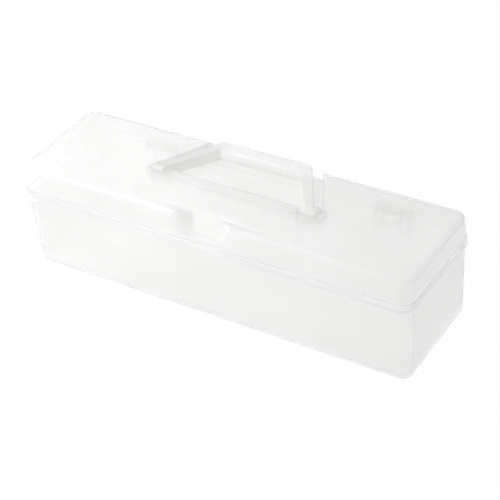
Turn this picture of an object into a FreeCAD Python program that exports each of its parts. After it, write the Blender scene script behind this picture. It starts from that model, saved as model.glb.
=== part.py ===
import FreeCAD, Part
import math
import os

# Long carry box in frosted polypropylene: a drafted tray, a hinged lid with an overhanging lip,
# and a bail handle that folds back into a pocket in the lid.
# Frame: origin at the middle of the underside, X along the length, the hinge at +Y, Z up.
# The lid is shut and the handle lies folded back. All sizes are in millimetres.

# Whole box
LENGTH = 375.0            # over the lid's lip
WIDTH = 110.0             # over the lid's lip
LID_TOP = 98.0            # height of the lid's flat top
LIP_BOTTOM = 70.0         # height of the lip's lower edge
CORNER = 11.5             # plan radius of the lip's corners
WALL = 1.8                # moulded wall of tray and lid

# Lid shell
LIP_PROUD = 1.0           # how far the lip's lower edge stands out from the lid's wall
LIP_STEP = 0.45           # how far the lip's upper edge stands out
LIP_BAND = 6.5            # height of the lip
LIP_WALL = 1.5            # thickness of the lip where it hangs over the tray
LIP_ROUND = 0.5           # rounding of the lip's lower edge
LID_LEAN_END = 0.6        # how far each end wall leans in over its height
LID_LEAN_SIDE = 3.2       # how far the front and back walls lean in
TOP_ROUND = 5.0           # rounding between the top and the walls

# Tray
RIM_GAP = 0.4             # room between the tray's rim and the lip
RIM_RISE = 5.0            # how far the rim stands up inside the lip
SEAT_GAP = 0.1            # between the rim's top and the lid's ledge
TRAY_LEAN_END = 2.6       # how far each end wall leans in towards the bottom
TRAY_LEAN_SIDE = 0.5
BOTTOM_ROUND = 3.6
FLOOR = 2.0

# Handle, as it lies folded back
REACH = 52.3              # pivot axis to the back of the grip bar
BAR_DEPTH = 12.7          # grip bar, front to back
BAR_THICK = 10.6          # grip bar and legs, top to bottom
BAR_SPAN = 87.0           # over the outer corners of the bar
GRIP_SPAN = 78.4          # clear width along the bar
PIVOT_SPAN = 151.0        # over the legs at the pivots
PIVOT_CLEAR = 132.6       # between the legs at the pivots
HANDLE_PROUD = 2.4        # how far the handle stands above the lid's top
BAR_CORNER = 6.0          # outer corners of the bail
GRIP_CORNER = 2.5         # inner corners of the bail
HANDLE_EDGE = 1.2         # rounding of the handle's long edges

# Handle pivots and the pocket in the lid
TRUNNION_D = 5.0
TRUNNION_GRIP = 3.4       # length of each trunnion inside its bearing
BEARING_GAP = 0.06        # radial running fit of the trunnions
BEARING_END = 0.4         # room at the trunnion's end
SHOULDER_GAP = 0.5        # between the trunnion's shoulder and the pocket's wall
SNAP_SLOT = 3.8           # slot above each bearing, narrower than the trunnion
BEARING_WALL = 2.6        # plastic round each bearing
POCKET_FLOOR_GAP = 0.4    # under the folded handle
POCKET_PIVOT_GAP = 3.6    # beside each leg at its pivot
POCKET_BAR_GAP = 7.6      # beside the bar's ends, room for a fingertip
POCKET_HEEL_GAP = 1.0     # in front of each leg's rounded heel
POCKET_FRONT = -0.5       # front edge of the pocket between the legs
HEEL_ROOM = 3.0           # beside each leg's inner face at its heel

# Finger recess at the front of the lid
RECESS_TOP_HALF = 15.5    # half width of its back wall at the lid's top
RECESS_FLOOR_HALF = 12.0  # half width of its back wall at its floor
RECESS_SET_BACK = 10.2    # its back wall from the lid's front edge, at the top
RECESS_LEAN = 5.5         # how far the back wall comes forward towards the floor
RECESS_DROP = 19.2        # its floor below the lid's top
RECESS_FLARE = 1.35       # widening of each side per millimetre forward
DISH_HALF = 58.0          # half length of the shallow dish above the recess
DISH_BACK = 11.3          # back edge of the dish from the lid's front edge
DISH_TIP = 8.6            # tips of the dish from the lid's front edge
DISH_FRONT = 3.0          # front of the dish from the lid's front edge
DISH_FRONT_HALF = 27.0
DISH_DROP = 3.1           # depth of the dish's keel
DISH_KEEL = 9.3           # keel of the dish from the lid's front edge
DISH_KEEL_HALF = 14.0

# Hinges at the back
HINGE_INSET = 72.5        # middle of each hinge from the lip's end
KNUCKLE_D = 6.8
KNUCKLE_LENGTH = 16.0     # lid's knuckle
LUG_LENGTH = 8.0          # each of the tray's two lugs
LUG_DROP = 14.0           # how far a lug's root runs down the tray's wall
HINGE_SIDE_GAP = 0.3      # between knuckle and lug
HINGE_BACK_GAP = 0.6      # between the lip and the knuckles
PIN_D = 3.5
PIN_FIT = 0.02            # radial gap in the lugs
PIN_RUN = 0.08            # radial gap in the knuckle
PIN_HEAD_D = 5.4
PIN_HEAD = 1.2
PIN_TAPER = 0.5           # chamfer at the pin's tip
LUG_UNDER_LIP = 0.7       # below the lip
STOP_GAP = 0.2            # between the stop heel and the tray's wall, lid fully open
OPEN_ANGLE = 110.0        # the stop heel meets the tray at this angle
STOP_WIDTH = 3.2

# Worked out from the sizes above
RIM_TOP = LIP_BOTTOM + RIM_RISE
TRAY_INSET = LIP_WALL + RIM_GAP
TRAY_TOP_A = LENGTH / 2 - TRAY_INSET
TRAY_TOP_B = WIDTH / 2 - TRAY_INSET
TRAY_CORNER = CORNER - TRAY_INSET
LID_HEIGHT = LID_TOP - LIP_BOTTOM
LID_CORNER = CORNER - LIP_PROUD
LID_TOP_B = WIDTH / 2 - LIP_PROUD - LID_LEAN_SIDE
PIVOT_Z = LID_TOP + HANDLE_PROUD - BAR_THICK / 2
POCKET_FLOOR_Z = LID_TOP + HANDLE_PROUD - BAR_THICK - POCKET_FLOOR_GAP
POCKET_PIVOT_HALF = PIVOT_SPAN / 2 + POCKET_PIVOT_GAP
POCKET_BAR_HALF = BAR_SPAN / 2 + POCKET_BAR_GAP
POCKET_HEEL_Y = -(BAR_THICK / 2 + POCKET_HEEL_GAP)
HINGE_X = LENGTH / 2 - HINGE_INSET
HINGE_Y = WIDTH / 2 + HINGE_BACK_GAP + KNUCKLE_D / 2
HINGE_Z = LIP_BOTTOM
HINGE_HALF = KNUCKLE_LENGTH / 2 + HINGE_SIDE_GAP + LUG_LENGTH
ABOVE = 20.0              # how far cutting tools reach past the faces that they open
SAME = 1e-4               # places closer than this are one place

X_AXIS = FreeCAD.Vector(1, 0, 0)
UP = FreeCAD.Vector(0, 0, 1)


def between(low, high, share):
    """Value that lies the given share of the way from low to high."""
    return low + (high - low) * share


def drafted_block(low, high, radius):
    """Block with leaning walls and rounded upright corners; each end is half length, half width, height."""
    rings = []
    for half_x, half_y, z in (low, high):
        rings.append([(half_x, half_y, z), (-half_x, half_y, z), (-half_x, -half_y, z), (half_x, -half_y, z)])
    faces = [rings[0][::-1], rings[1]]
    for first, second in ((0, 1), (1, 2), (2, 3), (3, 0)):
        faces.append([rings[0][first], rings[0][second], rings[1][second], rings[1][first]])
    block = polyhedron(faces)
    upright = [edge for edge in block.Edges if edge.BoundBox.ZLength > SAME]
    return block.makeFillet(radius, upright)


def edges_at(shape, z):
    """Edges of a shape that lie wholly at one height."""
    level = []
    for edge in shape.Edges:
        box = edge.BoundBox
        if abs(box.ZMin - z) < SAME and abs(box.ZMax - z) < SAME:
            level.append(edge)
    return level


def prism(points, z_low, z_high):
    """Upright prism on a plan outline."""
    outline = [FreeCAD.Vector(x, y, z_low) for x, y in points]
    face = Part.Face(Part.makePolygon(outline + outline[:1]))
    return face.extrude(UP * (z_high - z_low))


def bar_along_x(points, x_low, x_high):
    """Prism along X on an outline in the YZ plane."""
    outline = [FreeCAD.Vector(x_low, y, z) for y, z in points]
    face = Part.Face(Part.makePolygon(outline + outline[:1]))
    return face.extrude(X_AXIS * (x_high - x_low))


def rod_along_x(diameter, y, z, x_low, x_high):
    return Part.makeCylinder(diameter / 2, x_high - x_low, FreeCAD.Vector(x_low, y, z), X_AXIS)


def polyhedron(faces):
    """Closed solid from flat faces, each a list of points."""
    shell = []
    for points in faces:
        corners = [FreeCAD.Vector(*point) for point in points]
        shell.append(Part.Face(Part.makePolygon(corners + corners[:1])))
    solid = Part.Solid(Part.Shell(shell))
    solid.fix(SAME, SAME, SAME)
    return solid


def mirrored(points):
    """Plan outline of the right half, followed by its mirror image on the left."""
    return points + [(-x, y) for x, y in reversed(points)]


def tray_section(z, inset):
    """Half length, half width and height of the tray's outline, moved inwards by inset."""
    share = z / RIM_TOP
    half_x = between(TRAY_TOP_A - TRAY_LEAN_END, TRAY_TOP_A, share)
    half_y = between(TRAY_TOP_B - TRAY_LEAN_SIDE, TRAY_TOP_B, share)
    return half_x - inset, half_y - inset, z


def lid_section(z, inset):
    """Half length, half width and height of the lid's wall, moved inwards by inset."""
    share = (z - LIP_BOTTOM) / LID_HEIGHT
    half_x = LENGTH / 2 - LIP_PROUD - LID_LEAN_END * share
    half_y = WIDTH / 2 - LIP_PROUD - LID_LEAN_SIDE * share
    return half_x - inset, half_y - inset, z


def hinge_lug(x_low, x_high):
    """One lug on the tray: a gusset that passes under the lip and carries the pin."""
    root_y = TRAY_TOP_B - WALL / 2
    shelf_z = LIP_BOTTOM - LUG_UNDER_LIP
    reach = KNUCKLE_D / 2 * math.sqrt(0.5)
    gusset = bar_along_x(
        [
            (root_y, shelf_z - LUG_DROP),
            (root_y, shelf_z),
            (HINGE_Y, shelf_z),
            (HINGE_Y + reach, HINGE_Z - reach),
        ],
        x_low,
        x_high,
    )
    return gusset.fuse(rod_along_x(KNUCKLE_D, HINGE_Y, HINGE_Z, x_low, x_high))


def hinge_knuckle(middle):
    """Lid's knuckle with its arm to the lip and the heel that stops the lid when it is open."""
    x_low = middle - KNUCKLE_LENGTH / 2
    x_high = middle + KNUCKLE_LENGTH / 2
    root_y = WIDTH / 2 - LIP_WALL / 2
    arm = bar_along_x(
        [
            (root_y, LIP_BOTTOM + LIP_ROUND),
            (root_y, LIP_BOTTOM + LIP_BAND),
            (HINGE_Y, HINGE_Z + KNUCKLE_D / 2),
            (HINGE_Y, LIP_BOTTOM + LIP_ROUND),
        ],
        x_low,
        x_high,
    )
    wall_y = tray_section(HINGE_Z, 0)[1]
    heel_length = HINGE_Y - wall_y - STOP_GAP
    heel = Part.makeBox(KNUCKLE_LENGTH, heel_length, STOP_WIDTH)
    heel.translate(FreeCAD.Vector(x_low, HINGE_Y - heel_length, HINGE_Z - STOP_WIDTH))
    heel.rotate(FreeCAD.Vector(0, HINGE_Y, HINGE_Z), X_AXIS, OPEN_ANGLE)
    knuckle = arm.fuse([rod_along_x(KNUCKLE_D, HINGE_Y, HINGE_Z, x_low, x_high), heel])
    return knuckle.cut(rod_along_x(PIN_D + 2 * PIN_RUN, HINGE_Y, HINGE_Z, x_low, x_high))


def make_tray():
    outer = drafted_block(tray_section(0, 0), tray_section(RIM_TOP, 0), TRAY_CORNER)
    outer = outer.makeFillet(BOTTOM_ROUND, edges_at(outer, 0))
    inner = drafted_block(tray_section(FLOOR, WALL), tray_section(RIM_TOP + ABOVE, WALL), TRAY_CORNER - WALL)
    inner = inner.makeFillet(BOTTOM_ROUND - WALL, edges_at(inner, FLOOR))
    tray = outer
    for side in (-1, 1):
        middle = side * HINGE_X
        for edge in (-1, 1):
            near = middle + edge * (KNUCKLE_LENGTH / 2 + HINGE_SIDE_GAP)
            far = middle + edge * HINGE_HALF
            tray = tray.fuse(hinge_lug(min(near, far), max(near, far)))
    tray = tray.cut(inner)
    for side in (-1, 1):
        middle = side * HINGE_X
        bore = rod_along_x(PIN_D + 2 * PIN_FIT, HINGE_Y, HINGE_Z, middle - HINGE_HALF, middle + HINGE_HALF)
        tray = tray.cut(bore)
    return tray.removeSplitter()


def pocket(grow):
    """Space in the lid for the folded handle, open at the back edge; grow makes it larger all round."""
    slope = (POCKET_PIVOT_HALF - POCKET_BAR_HALF) / REACH
    back_y = WIDTH / 2 + ABOVE
    heel_x = PIVOT_CLEAR / 2 - HEEL_ROOM
    right = [
        (heel_x - grow, POCKET_FRONT - grow),
        (heel_x - grow, POCKET_HEEL_Y - grow),
        (POCKET_PIVOT_HALF + grow, POCKET_HEEL_Y - grow),
        (POCKET_PIVOT_HALF + grow, BAR_THICK / 2),
        (POCKET_PIVOT_HALF + grow - slope * (back_y - BAR_THICK / 2), back_y),
    ]
    return prism(mirrored(right), POCKET_FLOOR_Z - grow, LID_TOP + ABOVE)


def bearing_block(side):
    """Solid plastic round one handle bearing."""
    wall_x = POCKET_PIVOT_HALF
    depth = TRUNNION_GRIP + BEARING_END + BEARING_WALL
    half = TRUNNION_D / 2 + BEARING_WALL
    block = Part.makeBox(depth, 2 * half, half + LID_TOP - PIVOT_Z)
    block.translate(FreeCAD.Vector(wall_x if side > 0 else -wall_x - depth, -half, PIVOT_Z - half))
    return block


def bearing_hole(side):
    """Blind bearing with the slot above it, through which the trunnion snaps in."""
    inner = side * POCKET_PIVOT_HALF
    outer = side * (POCKET_PIVOT_HALF + TRUNNION_GRIP + BEARING_END)
    x_low = min(inner, outer)
    x_high = max(inner, outer)
    bore = rod_along_x(TRUNNION_D + 2 * BEARING_GAP, 0, PIVOT_Z, x_low, x_high)
    slot = Part.makeBox(x_high - x_low, SNAP_SLOT, ABOVE)
    slot.translate(FreeCAD.Vector(x_low, -SNAP_SLOT / 2, PIVOT_Z))
    return bore.fuse(slot)


def finger_recess(grow):
    """Recess in the lid's front wall with flared sides; grow makes it larger all round."""
    top_y = -(LID_TOP_B - RECESS_SET_BACK)
    floor_z = LID_TOP - RECESS_DROP - grow
    lean = RECESS_LEAN / RECESS_DROP
    narrowing = (RECESS_TOP_HALF - RECESS_FLOOR_HALF) / RECESS_DROP
    front_y = -(WIDTH / 2 + ABOVE)
    sections = []
    for z in (LID_TOP + ABOVE, floor_z):
        drop = LID_TOP - z
        back_y = top_y - lean * drop + grow
        half = RECESS_TOP_HALF - narrowing * drop + grow
        front_half = half + RECESS_FLARE * (back_y - front_y)
        outline = [(half, back_y), (-half, back_y), (-front_half, front_y), (front_half, front_y)]
        corners = [FreeCAD.Vector(x, y, z) for x, y in outline]
        sections.append(Part.makePolygon(corners + corners[:1]))
    return Part.makeLoft(sections, True, True)


def finger_dish(lower):
    """Shallow hipped dish in the lid's top above the recess, moved down by lower."""
    top = LID_TOP - lower
    keel_z = top - DISH_DROP
    edge = -LID_TOP_B
    back = [(side * DISH_KEEL_HALF, edge + DISH_BACK, top) for side in (-1, 1)]
    tip = [(side * DISH_HALF, edge + DISH_TIP, top) for side in (-1, 1)]
    front = [(side * DISH_FRONT_HALF, edge + DISH_FRONT, top) for side in (-1, 1)]
    keel = [(side * DISH_KEEL_HALF, edge + DISH_KEEL, keel_z) for side in (-1, 1)]
    faces = [
        [back[0], back[1], keel[1], keel[0]],
        [back[1], tip[1], keel[1]],
        [tip[1], front[1], keel[1]],
        [front[1], front[0], keel[0], keel[1]],
        [front[0], tip[0], keel[0]],
        [tip[0], back[0], keel[0]],
        [back[0], tip[0], front[0], front[1], tip[1], back[1]],
    ]
    return polyhedron(faces)


def make_lid():
    wall = drafted_block(lid_section(LIP_BOTTOM, 0), lid_section(LID_TOP, 0), LID_CORNER)
    wall = wall.makeFillet(TOP_ROUND, edges_at(wall, LID_TOP))
    band_top = LIP_BOTTOM + LIP_BAND
    lip = drafted_block((LENGTH / 2, WIDTH / 2, LIP_BOTTOM), lid_section(band_top, -LIP_STEP), CORNER)
    lip = lip.makeFillet(LIP_ROUND, edges_at(lip, LIP_BOTTOM))
    knuckles = [hinge_knuckle(side * HINGE_X) for side in (-1, 1)]
    shell = wall.fuse([lip] + knuckles)

    roof_z = LID_TOP - WALL
    below = LIP_BOTTOM - ABOVE
    hollow = drafted_block(lid_section(below, WALL), lid_section(roof_z, WALL), LID_CORNER - WALL)
    hollow = hollow.makeFillet(TOP_ROUND - WALL, edges_at(hollow, roof_z))
    blocks = [bearing_block(side) for side in (-1, 1)]
    hollow = hollow.cut([pocket(WALL), finger_recess(WALL), finger_dish(WALL)] + blocks)
    ledge_z = RIM_TOP + SEAT_GAP
    socket = drafted_block(
        (LENGTH / 2 - LIP_WALL, WIDTH / 2 - LIP_WALL, below),
        (LENGTH / 2 - LIP_WALL, WIDTH / 2 - LIP_WALL, ledge_z),
        CORNER - LIP_WALL,
    )
    tools = [hollow, socket, pocket(0), finger_recess(0), finger_dish(0)]
    tools += [bearing_hole(side) for side in (-1, 1)]
    for tool in tools:
        shell = shell.cut(tool)
    return shell.removeSplitter()


def make_handle():
    """Bail with a grip bar, two splayed legs with round heels, and a trunnion at each pivot."""
    slope = (PIVOT_SPAN - BAR_SPAN) / 2 / REACH
    heel = BAR_THICK / 2
    grip_y = REACH - BAR_DEPTH
    inner_slope = (PIVOT_CLEAR - GRIP_SPAN) / 2 / grip_y
    outline = mirrored([
        (PIVOT_SPAN / 2 + slope * heel, -heel),
        (PIVOT_SPAN / 2 - slope * REACH, REACH),
    ])
    opening = mirrored([
        (PIVOT_CLEAR / 2 + inner_slope * ABOVE, -ABOVE),
        (GRIP_SPAN / 2, grip_y),
    ])
    low = PIVOT_Z - heel
    high = PIVOT_Z + heel
    plate = prism(outline, low, high)
    plate = plate.makeFillet(BAR_CORNER, upright_edges(plate, REACH))
    gap = prism(opening, low - ABOVE, high + ABOVE)
    gap = gap.makeFillet(GRIP_CORNER, upright_edges(gap, grip_y))
    bail = plate.cut(gap)
    level = edges_at(bail, low) + edges_at(bail, high)
    bail = bail.makeFillet(HANDLE_EDGE, [edge for edge in level if not at_heel(edge)])
    span = PIVOT_SPAN / 2 + ABOVE
    sleeve = rod_along_x(BAR_THICK, 0, PIVOT_Z, -span, span)
    beyond = Part.makeBox(2 * span, REACH + ABOVE, 2 * BAR_THICK)
    beyond.translate(FreeCAD.Vector(-span, 0, PIVOT_Z - BAR_THICK))
    bail = bail.common(sleeve.fuse(beyond))
    shoulder_x = POCKET_PIVOT_HALF - SHOULDER_GAP
    root_x = (PIVOT_SPAN + PIVOT_CLEAR) / 4
    tip_x = POCKET_PIVOT_HALF + TRUNNION_GRIP
    pivots = []
    for side in (-1, 1):
        for diameter, reach in ((BAR_THICK, shoulder_x), (TRUNNION_D, tip_x)):
            low_x = min(side * root_x, side * reach)
            high_x = max(side * root_x, side * reach)
            pivots.append(rod_along_x(diameter, 0, PIVOT_Z, low_x, high_x))
    return bail.fuse(pivots).removeSplitter()


def upright_edges(shape, y):
    """Upright edges of a prism whose plan point lies at the given Y."""
    found = []
    for edge in shape.Edges:
        box = edge.BoundBox
        if box.ZLength > SAME and abs(box.YMin - y) < SAME and abs(box.YMax - y) < SAME:
            found.append(edge)
    return found


def at_heel(edge):
    """True for an edge across the end of a leg, which the round heel replaces."""
    box = edge.BoundBox
    return box.YMax < -BAR_THICK / 2 + SAME


def make_pin(side):
    """Hinge pin with a flat head at its outer end and a tapered tip."""
    middle = side * HINGE_X
    outer = middle + side * HINGE_HALF
    inner = middle - side * HINGE_HALF
    shank = rod_along_x(PIN_D, HINGE_Y, HINGE_Z, min(inner, outer), max(inner, outer))
    tip = [edge for edge in shank.Edges if edge.Closed and abs(edge.BoundBox.XMin - inner) < SAME]
    shank = shank.makeChamfer(PIN_TAPER, tip)
    cap = outer + side * PIN_HEAD
    head = rod_along_x(PIN_HEAD_D, HINGE_Y, HINGE_Z, min(outer, cap), max(outer, cap))
    return shank.fuse(head).removeSplitter()


def main():
    os.makedirs("parts", exist_ok=True)
    pieces = {
        "base_tray": make_tray(),
        "lid": make_lid(),
        "carry_handle": make_handle(),
        "hinge_pin_left": make_pin(-1),
        "hinge_pin_right": make_pin(1),
    }
    for name, shape in pieces.items():
        if not shape.isValid():
            print(name, "is not a valid shape")
        print(name, "solids", len(shape.Solids), "volume", round(shape.Volume, 1))
        shape.exportStep("parts/" + name + ".step")


main()
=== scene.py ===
import math

import bpy
from mathutils import Matrix, Vector


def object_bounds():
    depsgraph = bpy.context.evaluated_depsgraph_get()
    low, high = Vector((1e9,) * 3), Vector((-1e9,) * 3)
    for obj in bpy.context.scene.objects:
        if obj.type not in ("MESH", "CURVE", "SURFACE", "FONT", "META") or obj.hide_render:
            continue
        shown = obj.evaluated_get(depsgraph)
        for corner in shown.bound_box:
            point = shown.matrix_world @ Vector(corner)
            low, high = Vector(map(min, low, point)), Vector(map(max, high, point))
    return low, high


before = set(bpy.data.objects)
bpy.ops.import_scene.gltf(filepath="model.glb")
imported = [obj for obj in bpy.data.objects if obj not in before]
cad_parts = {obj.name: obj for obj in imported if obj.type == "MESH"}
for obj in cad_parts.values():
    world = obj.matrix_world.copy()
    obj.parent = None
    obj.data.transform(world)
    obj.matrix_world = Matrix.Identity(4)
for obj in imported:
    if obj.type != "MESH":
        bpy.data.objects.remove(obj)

cad_low, cad_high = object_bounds()
scene = bpy.context.scene

# Camera, fitted to the outlines of the box in the photograph
AZIMUTH = math.radians(35.6)
ELEVATION = math.radians(36.77)
ROLL = math.radians(-6.02)
TARGET = Vector((0.0, 0.0, 0.04167))
DISTANCE = 1.2310
MOVE_RIGHT = 0.00809
MOVE_UP = -0.00633
LENS = 105.49
SENSOR = 36.0

# Floor and light
FLOOR_SIZE = 8.0
FLOOR_DROP = 0.0003
FLOOR_COLOUR = (0.93, 0.93, 0.93, 1.0)
FLOOR_WHITE = 0.97
WHITE = (1.0, 1.0, 1.0, 1.0)
SKY_STRENGTH = 0.40
KEY_ENERGY = 4.4
KEY_SIZE = 0.5
KEY_PLACE = Vector((-0.48, -0.27, 0.54))
FILL_ENERGY = 1.1
FILL_SIZE = 0.16
FILL_PLACE = Vector((0.90, -0.05, 0.05))
FRONT_ENERGY = 0.3
FRONT_SIZE = 0.16
FRONT_PLACE = Vector((-0.35, -0.80, 0.05))

# Light crosses many faces of the clear walls before it leaves them
LIGHT_CROSSINGS = 32
LIGHT_SCATTERS = 12

# Frosted plastic: the light and dark tones of its clouds, and how much light each piece lets through
SHELL_LIGHT = (0.985, 0.985, 0.98, 1.0)
SHELL_DARK = (0.965, 0.965, 0.957, 1.0)
SHELL_CLEAR = 0.67
HANDLE_LIGHT = (0.97, 0.97, 0.963, 1.0)
HANDLE_DARK = (0.95, 0.95, 0.941, 1.0)
HANDLE_CLEAR = 0.6
PIN_LIGHT = (0.97, 0.97, 0.965, 1.0)
PIN_DARK = (0.95, 0.95, 0.94, 1.0)
PIN_CLEAR = 0.6
PLASTIC_IOR = 1.12
MILKY = 0.72
GLOSS = 0.3
GLOSS_ROUGHNESS = 0.28
FROST_ROUGHNESS = 0.22
FROST_SPREAD = 0.05
FROST_GRAIN = 2600.0
FROST_DETAIL = 2.0
FROST_DEPTH = 0.00004
FROST_STRENGTH = 0.35
CLOUD_GRAIN = 18.0
CLOUD_DETAIL = 3.0
CLOUD_FROM = 0.3
CLOUD_TO = 0.7

# The lip of the lid and the tray's rim inside it are clearer than the walls, between these heights
LIP_LOW = 0.0696
LIP_HIGH = 0.0772
LIP_FADE = 0.0008
LIP_MILKY = 0.35

# Moulded edges are never sharp; the handle's are finer, so that its trunnions stay clear of the lid
EDGE_ROUND = 0.0005
HANDLE_ROUND = 0.0002
EDGE_STEPS = 3
EDGE_ANGLE = math.radians(38)
SAME_POINT = 0.000001


def new_material(name):
    """Plain node material; gives the material, its nodes, its links and its Principled shader."""
    material = bpy.data.materials.new(name)
    material.use_nodes = True
    tree = material.node_tree
    return material, tree.nodes, tree.links, tree.nodes["Principled BSDF"]


def noise(nodes, links, place, scale, detail):
    """Noise texture in the part's own metres."""
    texture = nodes.new("ShaderNodeTexNoise")
    texture.inputs["Scale"].default_value = scale
    texture.inputs["Detail"].default_value = detail
    links.new(place, texture.inputs["Vector"])
    return texture.outputs["Fac"]


def spread(nodes, links, value, low, high):
    """Maps a value from 0 to 1 onto the range from low to high."""
    ranged = nodes.new("ShaderNodeMapRange")
    ranged.inputs["To Min"].default_value = low
    ranged.inputs["To Max"].default_value = high
    links.new(value, ranged.inputs["Value"])
    return ranged.outputs["Result"]


def step(nodes, links, value, start, end):
    """0 up to start and 1 from end on, also where end is below start."""
    ranged = nodes.new("ShaderNodeMapRange")
    ranged.inputs["From Min"].default_value = start
    ranged.inputs["From Max"].default_value = end
    links.new(value, ranged.inputs["Value"])
    return ranged.outputs["Result"]


def clear_lip(nodes, links, place, shader):
    """Lets more light through at the height of the lip."""
    height = nodes.new("ShaderNodeSeparateXYZ")
    links.new(place, height.inputs["Vector"])
    lip = nodes.new("ShaderNodeMath")
    lip.operation = "MULTIPLY"
    links.new(step(nodes, links, height.outputs["Z"], LIP_LOW, LIP_LOW + LIP_FADE), lip.inputs[0])
    links.new(step(nodes, links, height.outputs["Z"], LIP_HIGH, LIP_HIGH - LIP_FADE), lip.inputs[1])
    links.new(spread(nodes, links, lip.outputs[0], MILKY, LIP_MILKY), shader.inputs["Alpha"])


def frosted_plastic(name, light_tone, dark_tone, clear, has_lip=False):
    """Natural polypropylene: milky, finely frosted, with faint clouds where the melt flowed."""
    material, nodes, links, shader = new_material(name)
    place = nodes.new("ShaderNodeTexCoord").outputs["Object"]
    clouds = nodes.new("ShaderNodeValToRGB")
    clouds.color_ramp.interpolation = "EASE"
    clouds.color_ramp.elements[0].position = CLOUD_FROM
    clouds.color_ramp.elements[0].color = dark_tone
    clouds.color_ramp.elements[1].position = CLOUD_TO
    clouds.color_ramp.elements[1].color = light_tone
    links.new(noise(nodes, links, place, CLOUD_GRAIN, CLOUD_DETAIL), clouds.inputs["Fac"])
    links.new(clouds.outputs["Color"], shader.inputs["Base Color"])
    grain = noise(nodes, links, place, FROST_GRAIN, FROST_DETAIL)
    frost = spread(nodes, links, grain, FROST_ROUGHNESS - FROST_SPREAD, FROST_ROUGHNESS + FROST_SPREAD)
    links.new(frost, shader.inputs["Roughness"])
    bump = nodes.new("ShaderNodeBump")
    bump.inputs["Strength"].default_value = FROST_STRENGTH
    bump.inputs["Distance"].default_value = FROST_DEPTH
    links.new(grain, bump.inputs["Height"])
    links.new(bump.outputs["Normal"], shader.inputs["Normal"])
    shader.inputs["Alpha"].default_value = MILKY
    if has_lip:
        clear_lip(nodes, links, place, shader)
    shader.inputs["IOR"].default_value = PLASTIC_IOR
    shader.inputs["Transmission Weight"].default_value = clear
    shader.inputs["Coat Weight"].default_value = GLOSS
    shader.inputs["Coat Roughness"].default_value = GLOSS_ROUGHNESS
    return material


def dress(node, material):
    """Gives a node of the frame its finish."""
    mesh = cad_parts[node].data
    mesh.materials.clear()
    mesh.materials.append(material)


def round_edges(node, width):
    """Small radius on the sharp edges of a node, as a mould leaves it."""
    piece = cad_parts[node]
    weld = piece.modifiers.new("weld", "WELD")
    weld.merge_threshold = SAME_POINT
    bevel = piece.modifiers.new("bevel", "BEVEL")
    bevel.width = width
    bevel.segments = EDGE_STEPS
    bevel.limit_method = "ANGLE"
    bevel.angle_limit = EDGE_ANGLE
    bevel.use_clamp_overlap = False
    piece.modifiers.new("normals", "WEIGHTED_NORMAL")


def make_camera():
    """Camera of the photograph, turned about the part and rolled a little."""
    back = Vector((
        math.sin(AZIMUTH) * math.cos(ELEVATION),
        -math.cos(AZIMUTH) * math.cos(ELEVATION),
        math.sin(ELEVATION),
    ))
    level = (-back).cross(Vector((0, 0, 1))).normalized()
    upright = level.cross(-back)
    right = math.cos(ROLL) * level + math.sin(ROLL) * upright
    up = math.cos(ROLL) * upright - math.sin(ROLL) * level
    data = bpy.data.cameras.new("camera")
    data.lens = LENS
    data.sensor_width = SENSOR
    camera = bpy.data.objects.new("camera", data)
    turn = Matrix((right, up, back)).transposed().to_4x4()
    place = TARGET + back * DISTANCE + right * MOVE_RIGHT + up * MOVE_UP
    camera.matrix_world = Matrix.Translation(place) @ turn
    scene.collection.objects.link(camera)
    scene.camera = camera


def larger(nodes, links, first, second):
    """The larger of two values."""
    maximum = nodes.new("ShaderNodeMath")
    maximum.operation = "MAXIMUM"
    links.new(first, maximum.inputs[0])
    links.new(second, maximum.inputs[1])
    return maximum.outputs[0]


def seen_directly(nodes, links):
    """1 where a surface is seen, also mirrored or through plastic, and 0 where it only lights."""
    path = nodes.new("ShaderNodeLightPath").outputs
    plain_or_mirrored = larger(nodes, links, path["Is Camera Ray"], path["Is Glossy Ray"])
    return larger(nodes, links, plain_or_mirrored, path["Is Transmission Ray"])


def make_floor():
    """Pale floor just under the part: nearly white where it is seen, with a faint shadow."""
    half = FLOOR_SIZE / 2
    level = cad_low.z - FLOOR_DROP
    corners = [(-half, -half, level), (half, -half, level), (half, half, level), (-half, half, level)]
    mesh = bpy.data.meshes.new("floor")
    mesh.from_pydata(corners, [], [(0, 1, 2, 3)])
    material = bpy.data.materials.new("floor_white")
    material.use_nodes = True
    nodes = material.node_tree.nodes
    links = material.node_tree.links
    nodes.clear()
    output = nodes.new("ShaderNodeOutputMaterial")
    paint = nodes.new("ShaderNodeBsdfDiffuse")
    paint.inputs["Color"].default_value = FLOOR_COLOUR
    white = nodes.new("ShaderNodeEmission")
    share = nodes.new("ShaderNodeMath")
    share.operation = "MULTIPLY"
    share.inputs[1].default_value = FLOOR_WHITE
    links.new(seen_directly(nodes, links), share.inputs[0])
    mix = nodes.new("ShaderNodeMixShader")
    links.new(share.outputs[0], mix.inputs[0])
    links.new(paint.outputs[0], mix.inputs[1])
    links.new(white.outputs[0], mix.inputs[2])
    links.new(mix.outputs[0], output.inputs["Surface"])
    mesh.materials.append(material)
    floor = bpy.data.objects.new("floor", mesh)
    scene.collection.objects.link(floor)


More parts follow.
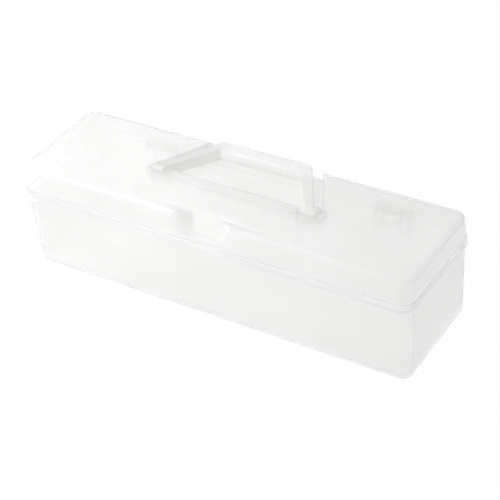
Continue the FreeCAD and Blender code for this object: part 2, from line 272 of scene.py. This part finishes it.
def make_world():
    """White background, which lights the part more weakly than it looks."""
    world = bpy.data.worlds.new("studio")
    scene.world = world
    world.use_nodes = True
    nodes = world.node_tree.nodes
    links = world.node_tree.links
    nodes.clear()
    output = nodes.new("ShaderNodeOutputWorld")
    light = nodes.new("ShaderNodeBackground")
    light.inputs["Strength"].default_value = SKY_STRENGTH
    white = nodes.new("ShaderNodeBackground")
    for background in (light, white):
        background.inputs["Color"].default_value = WHITE
    mix = nodes.new("ShaderNodeMixShader")
    links.new(seen_directly(nodes, links), mix.inputs[0])
    links.new(light.outputs[0], mix.inputs[1])
    links.new(white.outputs[0], mix.inputs[2])
    links.new(mix.outputs[0], output.inputs["Surface"])


def make_lamp(name, place, size, energy):
    """Round area lamp that points at the middle of the part."""
    data = bpy.data.lights.new(name, "AREA")
    data.shape = "DISK"
    data.size = size
    data.energy = energy
    lamp = bpy.data.objects.new(name, data)
    lamp.location = place
    lamp.rotation_mode = "QUATERNION"
    lamp.rotation_quaternion = (TARGET - place).to_track_quat("-Z", "Y")
    scene.collection.objects.link(lamp)


scene.cycles.max_bounces = LIGHT_CROSSINGS
scene.cycles.transmission_bounces = LIGHT_CROSSINGS
scene.cycles.transparent_max_bounces = LIGHT_CROSSINGS
scene.cycles.diffuse_bounces = LIGHT_SCATTERS

shell = frosted_plastic("frosted_shell", SHELL_LIGHT, SHELL_DARK, SHELL_CLEAR, has_lip=True)
handle = frosted_plastic("frosted_handle", HANDLE_LIGHT, HANDLE_DARK, HANDLE_CLEAR)
pin = frosted_plastic("hinge_pin", PIN_LIGHT, PIN_DARK, PIN_CLEAR)
for node, material in (
    ("base_tray", shell),
    ("lid", shell),
    ("carry_handle", handle),
    ("hinge_pin_left", pin),
    ("hinge_pin_right", pin),
):
    dress(node, material)
for node, width in (("base_tray", EDGE_ROUND), ("lid", EDGE_ROUND), ("carry_handle", HANDLE_ROUND)):
    round_edges(node, width)

make_camera()
make_floor()
make_world()
make_lamp("key", KEY_PLACE, KEY_SIZE, KEY_ENERGY)
make_lamp("fill", FILL_PLACE, FILL_SIZE, FILL_ENERGY)
make_lamp("front", FRONT_PLACE, FRONT_SIZE, FRONT_ENERGY)
scene.view_settings.view_transform = "Standard"
